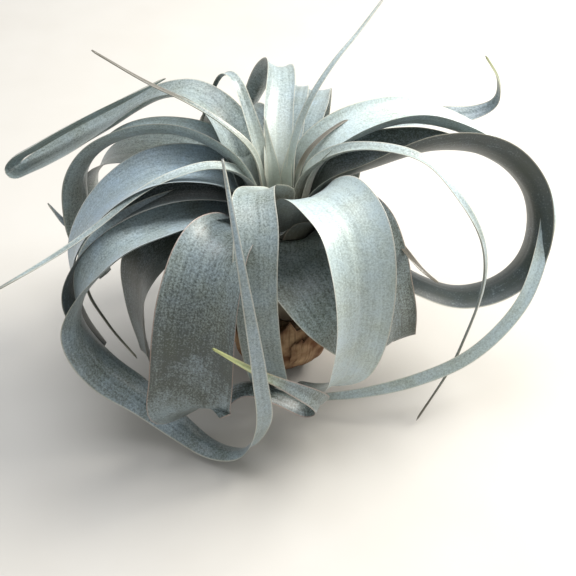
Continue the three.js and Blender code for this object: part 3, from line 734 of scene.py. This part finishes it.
def leaf_skin():
    """The one material of all the living leaves."""
    material = new_material("living leaf, felted with silver scales")
    tree = material.node_tree
    place = add(tree, "ShaderNodeSeparateXYZ",
                {0: add(tree, "ShaderNodeAttribute", attribute_name="place")["Vector"]})
    part = add(tree, "ShaderNodeSeparateXYZ",
               {0: add(tree, "ShaderNodeAttribute", attribute_name="part")["Vector"]})
    look = add(tree, "ShaderNodeSeparateXYZ",
               {0: add(tree, "ShaderNodeAttribute", attribute_name="look")["Vector"]})
    coat = add(tree, "ShaderNodeSeparateXYZ",
               {0: add(tree, "ShaderNodeAttribute", attribute_name="coat")["Vector"]})
    where = add(tree, "ShaderNodeTexCoord")["Object"]

    # Grain of the scales, broad mottling, and the veins that run along the blade.
    grain = add(tree, "ShaderNodeTexNoise",
                {"Vector": where, "Scale": 1 / (SCALE_GRAIN * MM), "Detail": 3.0, "Roughness": 0.7})[0]
    mottle = add(tree, "ShaderNodeTexNoise",
                 {"Vector": where, "Scale": 1 / (MOTTLE_SIZE * MM), "Detail": 4.0, "Roughness": 0.6})[0]
    vein_x = add(tree, "ShaderNodeMath", {0: place[0], 1: 1 / VEIN_WIDTH}, operation="MULTIPLY")[0]
    vein_y = add(tree, "ShaderNodeMath", {0: place[1], 1: 1 / VEIN_RUN}, operation="MULTIPLY")[0]
    vein_spot = add(tree, "ShaderNodeCombineXYZ", {0: vein_x, 1: vein_y})[0]
    vein = add(tree, "ShaderNodeTexNoise", {"Vector": vein_spot, "Scale": 1.0, "Detail": 2.0})[0]

    # How much of the silver coat covers the green flesh: less below, partly as painted shade, more in
    # patches, broken by grain, and less again in the band of painted shadow.
    patches = add(tree, "ShaderNodeMapRange",
                  {0: mottle, 1: NOISE_LOW, 2: NOISE_HIGH, 3: -PATCH_SWING, 4: PATCH_SWING})[0]
    specks = add(tree, "ShaderNodeMapRange",
                 {0: grain, 1: NOISE_LOW, 2: NOISE_HIGH, 3: -SPECK_SWING, 4: SPECK_SWING})[0]
    veins = add(tree, "ShaderNodeMapRange",
                {0: vein, 1: NOISE_LOW, 2: NOISE_HIGH, 3: -VEIN_SWING, 4: VEIN_SWING})[0]
    # The lower face is darker partly from thinner scales and partly from painted shade.
    face_coat_and_shade = add(tree, "ShaderNodeMapRange",
                    {0: place[2], 1: -FACE_BLEND, 2: FACE_BLEND, 3: LOWER_COAT_AND_SHADE, 4: UPPER_COAT})[0]
    coat_1 = add(tree, "ShaderNodeMath", {0: face_coat_and_shade, 1: coat[0]}, operation="ADD")[0]
    coat_2 = add(tree, "ShaderNodeMath", {0: coat_1, 1: patches}, operation="ADD")[0]
    coat_3 = add(tree, "ShaderNodeMath", {0: coat_2, 1: specks}, operation="ADD")[0]
    coat_4 = add(tree, "ShaderNodeMath", {0: coat_3, 1: veins}, operation="ADD")[0]

    # A band of painted shadow, where the coat is darkened, with an edge that wanders.
    wander = add(tree, "ShaderNodeMapRange", {0: mottle, 3: -SHADOW_WANDER, 4: SHADOW_WANDER})[0]
    wandering = add(tree, "ShaderNodeMath", {0: part[1], 1: wander}, operation="ADD")[0]
    off_shadow = add(tree, "ShaderNodeMath", {0: wandering, 1: coat[2]}, operation="SUBTRACT")[0]
    near_shadow = add(tree, "ShaderNodeMath", {0: off_shadow}, operation="ABSOLUTE")[0]
    painted_shadow = add(tree, "ShaderNodeMapRange",
                 {0: near_shadow, 1: SHADOW_REACH, 2: 0.0, 4: SHADOW_DEPTH})[0]
    shaded_cover = add(tree, "ShaderNodeMath", {0: coat_4, 1: painted_shadow}, operation="SUBTRACT", use_clamp=True)[0]
    blue_amount = add(tree, "ShaderNodeMath",
                      {0: mottle, 1: 0.9, 2: look[0]}, operation="MULTIPLY_ADD")[0]
    blue_share = add(tree, "ShaderNodeMapRange", {0: blue_amount, 1: 0.25, 2: 0.85})[0]
    silver = add(tree, "ShaderNodeMix", {0: blue_share, 6: toLinear("#BDCBC4"), 7: toLinear("#A8BDCA")},
                 data_type="RGBA")[2]
    green = add(tree, "ShaderNodeMix", {0: blue_share, 6: toLinear("#3B4335"), 7: toLinear("#36434A")},
                data_type="RGBA")[2]
    flesh = add(tree, "ShaderNodeMix", {0: shaded_cover, 6: green, 7: silver}, data_type="RGBA")[2]

    # The base is pale where the light never reached it, and pinkish on its outer face.
    paleness = add(tree, "ShaderNodeMapRange",
                   {0: place[1], 1: BASE_PALE_LENGTH, 2: BASE_PALE_FULL, 4: 0.75})[0]
    outer = add(tree, "ShaderNodeMapRange", {0: place[2], 1: FACE_BLEND, 2: -FACE_BLEND})[0]
    pale = add(tree, "ShaderNodeMix", {0: outer, 6: toLinear("#BAC1B4"), 7: toLinear("#A1937F")},
               data_type="RGBA")[2]
    flesh = add(tree, "ShaderNodeMix", {0: paleness, 6: flesh, 7: pale}, data_type="RGBA")[2]

    # The rim is a thin dry line, cream, and pink on some of the inner leaves.
    from_middle = add(tree, "ShaderNodeMath", {0: part[0]}, operation="ABSOLUTE")[0]
    middle_mm = add(tree, "ShaderNodeMath", {0: from_middle, 1: part[2]}, operation="MULTIPLY")[0]
    rim_mm = add(tree, "ShaderNodeMath", {0: part[2], 1: middle_mm}, operation="SUBTRACT")[0]
    rim = add(tree, "ShaderNodeMapRange", {0: rim_mm, 1: RIM_WIDTH, 2: 0.1, 4: 0.6})[0]
    rim_colour = add(tree, "ShaderNodeMix", {0: coat[1], 6: toLinear("#D3CFBC"), 7: toLinear("#A9786A")},
                     data_type="RGBA")[2]
    flesh = add(tree, "ShaderNodeMix", {0: rim, 6: flesh, 7: rim_colour}, data_type="RGBA")[2]

    # The tip: yellow-green while it grows, brown once it has dried.
    lime_share = add(tree, "ShaderNodeMapRange", {0: part[1], 1: LIME_FROM, 2: 1.0})[0]
    lime = add(tree, "ShaderNodeMath", {0: lime_share, 1: look[2]}, operation="MULTIPLY")[0]
    flesh = add(tree, "ShaderNodeMix", {0: lime, 6: flesh, 7: toLinear("#B7C07C")}, data_type="RGBA")[2]
    past_dry = add(tree, "ShaderNodeMath", {0: part[1], 1: look[1]}, operation="SUBTRACT")[0]
    dry = add(tree, "ShaderNodeMapRange", {0: past_dry, 1: 0.0, 2: DRY_RUN, 4: 0.8})[0]
    flesh = add(tree, "ShaderNodeMix", {0: dry, 6: flesh, 7: toLinear("#5B5346")}, data_type="RGBA")[2]

    # Scales and veins stand proud by less than a tenth of a millimetre.
    relief = add(tree, "ShaderNodeMath", {0: vein, 1: 0.8, 2: grain}, operation="MULTIPLY_ADD")[0]
    bump = add(tree, "ShaderNodeBump", {"Strength": 0.35, "Distance": 0.2 * MM, "Height": relief})[0]
    gloss = add(tree, "ShaderNodeMapRange", {0: grain, 3: 0.3, 4: 0.5})[0]
    skin = add(tree, "ShaderNodeBsdfPrincipled",
               {"Base Color": flesh, "Roughness": gloss, "Specular IOR Level": 0.75, "Sheen Weight": 0.2,
                "Sheen Roughness": 0.45, "Normal": bump})[0]
    add(tree, "ShaderNodeOutputMaterial", {"Surface": skin})
    return material


leaf_material = leaf_skin()
print("leaf material nodes:", len(leaf_material.node_tree.nodes))

# %% Laying the leaves
COLUMNS = 22
# A leaf with no band of painted shadow.
NO_SHADOW = -1.0
LEAF_SIZES = {
    "Columns": COLUMNS, "Middle thickness": 1.1 * MM, "Edge thickness": 0.35 * MM,
    "Ripple height": 0.5 * MM, "Ripple length": 38 * MM, "Crease width": 0.9 * MM,
    "Vein height": 0.1 * MM, "Vein spacing": 1.6 * MM, "Vein length": 90 * MM,
    "Tear depth": 0.0, "Tear count": 1.0,
}
leaf_triangles = 0
for age, leaf in enumerate(LEAVES):
    rings = blade_frames(leaf, with_base(leaf, age))
    look = (leaf.get("blue", 0.0), leaf.get("dry_from", 0.97), leaf.get("lime", 0.0))
    coat = (leaf.get("silver", 0.0), leaf.get("rose", 0.0), leaf.get("painted_shadow", NO_SHADOW))
    sizes = {**LEAF_SIZES, "Crease depth": leaf.get("crease", 0.25) * MM, "Look": look, "Coat": coat,
             "Seed": age}
    name = leaf["name"].replace("leaf", "blade")
    piece = lay_blade(name, leaf["name"], rings, leaf_material, sizes)
    leaf_triangles += 2 * len(piece.data.polygons)
print("leaves:", len(LEAVES), "triangles:", leaf_triangles)

# %% [markdown]
# ## The dry sheaths
# The oldest leaves have died back to their bases. What is left is thin brown paper, torn across the top,
# curled and wrinkled, and wrapped round the foot. Cloth simulation could crumple a sheet, but the blade
# rule does it with fewer steps: a thinner lens, a tighter and higher ripple, and a torn end.

# %% Sheath material
# Dead leaf base, dried to paper: matt, straw to pink-brown, darker where it is torn and towards its foot.
FIBRE_WIDTH = 0.9
FIBRE_RUN = 24
BLOTCH_SIZE = 11


def sheath_skin():
    """The material of the dry sheaths."""
    material = new_material("dead leaf base, dried to paper")
    tree = material.node_tree
    place = add(tree, "ShaderNodeSeparateXYZ",
                {0: add(tree, "ShaderNodeAttribute", attribute_name="place")["Vector"]})
    part = add(tree, "ShaderNodeSeparateXYZ",
               {0: add(tree, "ShaderNodeAttribute", attribute_name="part")["Vector"]})
    where = add(tree, "ShaderNodeTexCoord")["Object"]
    blotch = add(tree, "ShaderNodeTexNoise",
                 {"Vector": where, "Scale": 1 / (BLOTCH_SIZE * MM), "Detail": 4.0})[0]
    fibre_x = add(tree, "ShaderNodeMath", {0: place[0], 1: 1 / FIBRE_WIDTH}, operation="MULTIPLY")[0]
    fibre_y = add(tree, "ShaderNodeMath", {0: place[1], 1: 1 / FIBRE_RUN}, operation="MULTIPLY")[0]
    fibre_spot = add(tree, "ShaderNodeCombineXYZ", {0: fibre_x, 1: fibre_y})[0]
    fibre = add(tree, "ShaderNodeTexNoise",
                {"Vector": fibre_spot, "Scale": 1.0, "Detail": 3.0, "Roughness": 0.65})[0]
    warm = add(tree, "ShaderNodeMapRange", {0: blotch, 1: 0.38, 2: 0.64})[0]
    paper = add(tree, "ShaderNodeMix", {0: warm, 6: toLinear("#C0A07C"), 7: toLinear("#714D33")},
                data_type="RGBA")[2]
    streak = add(tree, "ShaderNodeMapRange", {0: fibre, 1: 0.5, 2: 0.32, 4: 0.7})[0]
    paper = add(tree, "ShaderNodeMix",
                {0: streak, 6: paper, 7: toLinear("#5C402C")}, data_type="RGBA")[2]
    torn = add(tree, "ShaderNodeMapRange", {0: part[1], 1: 0.9, 2: 1.0, 4: 0.6})[0]
    paper = add(tree, "ShaderNodeMix", {0: torn, 6: paper, 7: toLinear("#6B4A36")}, data_type="RGBA")[2]
    # Each sheath is darker towards its foot.
    darker_foot = add(tree, "ShaderNodeMapRange", {0: part[1], 1: 0.3, 2: 0.0, 4: 0.6})[0]
    paper = add(tree, "ShaderNodeMix", {0: darker_foot, 6: paper, 7: toLinear("#5C4536")}, data_type="RGBA")[2]
    bump = add(tree, "ShaderNodeBump", {"Strength": 0.6, "Distance": 0.4 * MM, "Height": fibre})[0]
    skin = add(tree, "ShaderNodeBsdfPrincipled",
               {"Base Color": paper, "Roughness": 0.8, "Specular IOR Level": 0.25, "Normal": bump})[0]
    add(tree, "ShaderNodeOutputMaterial", {"Surface": skin})
    return material


sheath_material = sheath_skin()
print("sheath material nodes:", len(sheath_material.node_tree.nodes))

# %% Laying the sheaths
SHEATH_SIDES = ["front", "front_right", "back_right", "back", "back_left", "front_left"]
SHEATH_ROUTE = [[0, 0, 2], [5, 0, 10], [8, 0, 22], [8, 0, 34], [8, 0, 45], [12, 0, 54]]
SHEATH_WIDTH = [22, 36, 42, 39, 29, 12]
SHEATH_GROWTH = [1.0, 0.85, 1.05, 0.9, 1.0, 0.8]
# Every other sheath stands this much farther out, so that neighbours overlap.
SHEATH_LAP = 1.5
SHEATH_SIZES = {
    "Columns": COLUMNS, "Middle thickness": 0.5 * MM, "Edge thickness": 0.25 * MM,
    "Ripple height": 2.8 * MM, "Ripple length": 10 * MM, "Crease width": 1.2 * MM,
    "Crease depth": 0.6 * MM, "Vein height": 1.1 * MM, "Vein spacing": 2.6 * MM, "Vein length": 22 * MM,
    "Tear depth": 0.7, "Tear count": 2.5, "Look": (0.0, 1.0, 0.0), "Coat": (0.0, 0.0, 0.0),
}
SHEATH_SEED = 50
for index, where in enumerate(SHEATH_SIDES):
    lap = (index % 2) * SHEATH_LAP
    foot = STEM_FOOT_RADIUS + SEAT_CLEARANCE
    route = [[foot + out + (lap if place else 0), swing, height * SHEATH_GROWTH[index]]
             for place, (out, swing, height) in enumerate(SHEATH_ROUTE)]
    cup = [math.degrees(width / 2 / point[0]) for width, point in zip(SHEATH_WIDTH, route)]
    plan = {"bearing": 270 + index * 360 / len(SHEATH_SIDES), "width": SHEATH_WIDTH, "cup": cup}
    rings = blade_frames(plan, route, fits_stem=False)
    lay_blade("dry_paper_" + where, "dry_sheath_" + where, rings, sheath_material,
              {**SHEATH_SIZES, "Seed": SHEATH_SEED + index})
print("sheaths:", len(SHEATH_SIDES))

# %% [markdown]
# ## The stem
# The stem is a short cone of old wood, ringed with the scars of fallen leaves and rough with fibres. It
# is a turned shape, so its outline is revolved, and each ring is pushed in and out by the scars and by
# noise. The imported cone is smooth, so this rougher one stands for it.

# %% Stem shape
STEM_SIDES = 72
STEM_ROW_STEP = 1.0
SCAR_SPACING = 5.5
SCAR_DEPTH = 0.5
BARK_ROUGHNESS = 0.7
BARK_SIZE = 2.5
# How much the bark's grain is drawn out up the stem.
BARK_DRAW = 0.35
FOOT_FLAT = 0.6
FOOT_ROUND = 0.93
FOOT_ROUND_HEIGHT = 0.6
FIRST_SCAR_HEIGHT = 1.6
TOP_MARGIN = 2
TOP_FLAT = 0.6
TOP_FLAT_DROP = 0.8

outline = [(STEM_FOOT_RADIUS * FOOT_FLAT, 0.0), (STEM_FOOT_RADIUS * FOOT_ROUND, FOOT_ROUND_HEIGHT)]
height = FIRST_SCAR_HEIGHT
while height < STEM_TOP_HEIGHT - TOP_MARGIN:
    scar = SCAR_DEPTH * abs(math.sin(math.pi * height / SCAR_SPACING))
    outline.append((stem_radius(height) - SCAR_DEPTH + scar, height))
    height += STEM_ROW_STEP
outline.append((STEM_NECK_RADIUS * TOP_FLAT, STEM_TOP_HEIGHT - TOP_FLAT_DROP))

points = [(0.0, 0.0, 0.0)]
for radius_mm, height in outline:
    for spoke in range(STEM_SIDES):
        angle = math.tau * spoke / STEM_SIDES
        place = Vector((math.cos(angle) * radius_mm, math.sin(angle) * radius_mm, height))
        grain_spot = Vector((place.x, place.y, height * BARK_DRAW)) / BARK_SIZE
        rough = noise.noise(grain_spot) * BARK_ROUGHNESS
        out = radius_mm - abs(rough) * min(height, 1.0)
        points.append((math.cos(angle) * out * MM, math.sin(angle) * out * MM, height * MM))
points.append((0.0, 0.0, STEM_TOP_HEIGHT * MM))
faces = []
for spoke in range(STEM_SIDES):
    beside = (spoke + 1) % STEM_SIDES
    faces.append((0, 1 + beside, 1 + spoke))
    for row in range(len(outline) - 1):
        low, high = 1 + row * STEM_SIDES, 1 + (row + 1) * STEM_SIDES
        faces.append((low + spoke, low + beside, high + beside, high + spoke))
    faces.append((high + spoke, high + beside, len(points) - 1))
stem_mesh = bpy.data.meshes.new("woody_stem")
stem_mesh.from_pydata(points, [], faces)
stem_mesh.shade_smooth()
print("stem faces:", len(faces))

# %% Stem material
# Old stem wood under leaf scars: dry, matt and dark brown, with paler fibres.
WOOD_FIBRE = 1.3
WOOD_DRAW = 0.25
# The wave node's bands are this far apart at scale 1.
WAVE_BAND = 0.314
bark = new_material("old stem wood, scarred and fibrous")
tree = bark.node_tree
where = add(tree, "ShaderNodeTexCoord")["Object"]
drawn_out = add(tree, "ShaderNodeMapping", {"Vector": where, "Scale": (1.0, 1.0, WOOD_DRAW)})[0]
fibre = add(tree, "ShaderNodeTexNoise",
            {"Vector": drawn_out, "Scale": 1 / (WOOD_FIBRE * MM), "Detail": 4.0})[0]
ring = add(tree, "ShaderNodeTexWave",
           {"Vector": where, "Scale": WAVE_BAND / (SCAR_SPACING * MM), "Distortion": 1.5, "Detail": 2.0},
           bands_direction="Z")[1]
wood = add(tree, "ShaderNodeMix",
           {0: fibre, 6: toLinear("#4A382A"), 7: toLinear("#A08A6C")}, data_type="RGBA")[2]
scar_share = add(tree, "ShaderNodeMapRange", {0: ring, 1: 0.6, 2: 1.0, 4: 0.5})[0]
wood = add(tree, "ShaderNodeMix", {0: scar_share, 6: wood, 7: toLinear("#33261C")}, data_type="RGBA")[2]
bump = add(tree, "ShaderNodeBump", {"Strength": 0.7, "Distance": 0.5 * MM, "Height": fibre})[0]
skin = add(tree, "ShaderNodeBsdfPrincipled", {"Base Color": wood, "Roughness": 0.85, "Normal": bump})[0]
add(tree, "ShaderNodeOutputMaterial", {"Surface": skin})

stem_mesh.materials.append(bark)
stem = bpy.data.objects.new("woody_stem", stem_mesh)
scene.collection.objects.link(stem)
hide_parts("stem")
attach(stem, "root")
print("stem height, mm:", STEM_TOP_HEIGHT)
